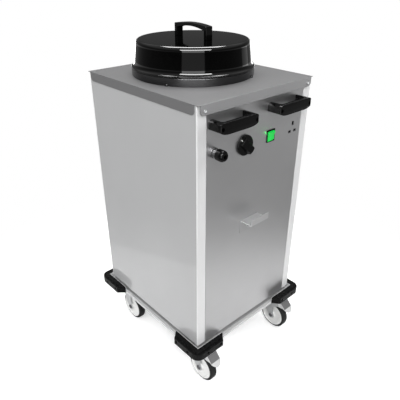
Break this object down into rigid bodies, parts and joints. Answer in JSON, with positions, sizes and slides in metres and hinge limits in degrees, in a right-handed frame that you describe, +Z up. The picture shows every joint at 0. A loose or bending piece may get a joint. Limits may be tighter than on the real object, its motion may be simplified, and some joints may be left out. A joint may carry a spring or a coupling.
{
  "type": "plate dispenser cart",
  "caption": "Heated plate dispenser cart: sheet steel cabinet on swivel castors, sprung plate lift in a tube, lift-off lid, push handles and corner bumpers.",
  "frame": {"origin": "on the floor, under the middle of the cart's bounding box", "axes": "+Z up, -Y towards the front panel with the handles, +X to the right as seen from the front"},
  "size_m": [0.478, 0.539, 1.0129],
  "materials": {
    "steel": "satin sheet",
    "post_steel": "light satin sheet",
    "inner_steel": "plain sheet",
    "zinc": "zinc plated",
    "black_plastic": "gloss",
    "bumper_plastic": "satin",
    "wheel_white": "satin",
    "tyre_dark": "matt",
    "lit_green": "lit"
  },
  "bodies": {
    "cabinet": {"chassis": "steel", "cross_channels": "zinc", "plinth_rails": "zinc", "corner_posts": "post_steel", "side_left": "steel", "side_right": "steel", "rear_panel": "steel", "front_panel": "steel", "top_plate": "steel", "top_screws": "zinc", "tube_collar": "black_plastic", "dispenser_tube": "inner_steel", "tube_base": "inner_steel", "plate_guides": "inner_steel", "heater": "inner_steel", "spring_ring": "inner_steel", "thermostat": "bumper_plastic", "switch_housing": "black_plastic", "plug_park": "bumper_plastic", "gland_body": "black_plastic", "gland_nut": "black_plastic", "cable_hook": "steel", "handle_left": "black_plastic", "handle_right": "black_plastic", "panel_fixings": "zinc", "bumper_fl": "bumper_plastic", "bumper_fr": "bumper_plastic", "bumper_rl": "bumper_plastic", "bumper_rr": "bumper_plastic", "bumper_screws": "zinc", "castor_plates": "zinc", "castor_bolts": "zinc"},
    "castor_fl": {"fork_fl": "zinc", "axle_fl": "zinc"},
    "roller_fl": {"wheel_fl": "wheel_white", "tyre_fl": "tyre_dark"},
    "brake_fl": {"pedal_fl": "zinc"},
    "castor_fr": {"fork_fr": "zinc", "axle_fr": "zinc"},
    "roller_fr": {"wheel_fr": "wheel_white", "tyre_fr": "tyre_dark"},
    "brake_fr": {"pedal_fr": "zinc"},
    "castor_rl": {"fork_rl": "zinc", "axle_rl": "zinc"},
    "roller_rl": {"wheel_rl": "wheel_white", "tyre_rl": "tyre_dark"},
    "castor_rr": {"fork_rr": "zinc", "axle_rr": "zinc"},
    "roller_rr": {"wheel_rr": "wheel_white", "tyre_rr": "tyre_dark"},
    "lift": {"platform": "inner_steel", "carriage": "inner_steel", "lift_springs": "inner_steel"},
    "lid": {"lid_shell": "black_plastic", "lid_handle": "black_plastic", "lid_screws": "zinc"},
    "knob": {"knob": "black_plastic", "knob_spindle": "zinc"},
    "rocker": {"rocker": "lit_green"}
  },
  "joints": [
    {"name": "swivel_fl", "type": "hinge", "parent": "cabinet", "child": "castor_fl", "pos_m": [-0.172, -0.17545, 0.125], "axis": [0, 0, 1], "continuous": true},
    {"name": "roll_fl", "type": "hinge", "parent": "castor_fl", "child": "roller_fl", "pos_m": [-0.172, -0.20275, 0.05], "axis": [1, 0, 0], "continuous": true},
    {"name": "brake_fl", "type": "hinge", "parent": "castor_fl", "child": "brake_fl", "pos_m": [-0.172, -0.22145, 0.107], "axis": [1, 0, 0], "range_deg": [0, 18]},
    {"name": "swivel_fr", "type": "hinge", "parent": "cabinet", "child": "castor_fr", "pos_m": [0.172, -0.17545, 0.125], "axis": [0, 0, 1], "continuous": true},
    {"name": "roll_fr", "type": "hinge", "parent": "castor_fr", "child": "roller_fr", "pos_m": [0.172, -0.20275, 0.05], "axis": [1, 0, 0], "continuous": true},
    {"name": "brake_fr", "type": "hinge", "parent": "castor_fr", "child": "brake_fr", "pos_m": [0.172, -0.22145, 0.107], "axis": [1, 0, 0], "range_deg": [0, 18]},
    {"name": "swivel_rl", "type": "hinge", "parent": "cabinet", "child": "castor_rl", "pos_m": [-0.172, 0.19455, 0.125], "axis": [0, 0, 1], "continuous": true},
    {"name": "roll_rl", "type": "hinge", "parent": "castor_rl", "child": "roller_rl", "pos_m": [-0.172, 0.16725, 0.05], "axis": [1, 0, 0], "continuous": true},
    {"name": "swivel_rr", "type": "hinge", "parent": "cabinet", "child": "castor_rr", "pos_m": [0.172, 0.19455, 0.125], "axis": [0, 0, 1], "continuous": true},
    {"name": "roll_rr", "type": "hinge", "parent": "castor_rr", "child": "roller_rr", "pos_m": [0.172, 0.16725, 0.05], "axis": [1, 0, 0], "continuous": true},
    {"name": "lift_slide", "type": "slide", "parent": "cabinet", "child": "lift", "axis": [0, 0, -1], "range_m": [0, 0.415], "stiffness_N_per_m": 350, "springref_m": -0.12, "deforming": ["lift_springs"]},
    {"name": "lid_lift", "type": "slide", "parent": "cabinet", "child": "lid", "axis": [0, 0, 1], "range_m": [0, 0.3]},
    {"name": "knob_turn", "type": "hinge", "parent": "cabinet", "child": "knob", "pos_m": [-0.049, -0.21745, 0.75], "axis": [0, 1, 0], "range_deg": [-317, 0]},
    {"name": "rocker_tip", "type": "hinge", "parent": "cabinet", "child": "rocker", "pos_m": [0.0525, -0.21395, 0.75], "axis": [1, 0, 0], "range_deg": [-18, 0]}
  ]
}
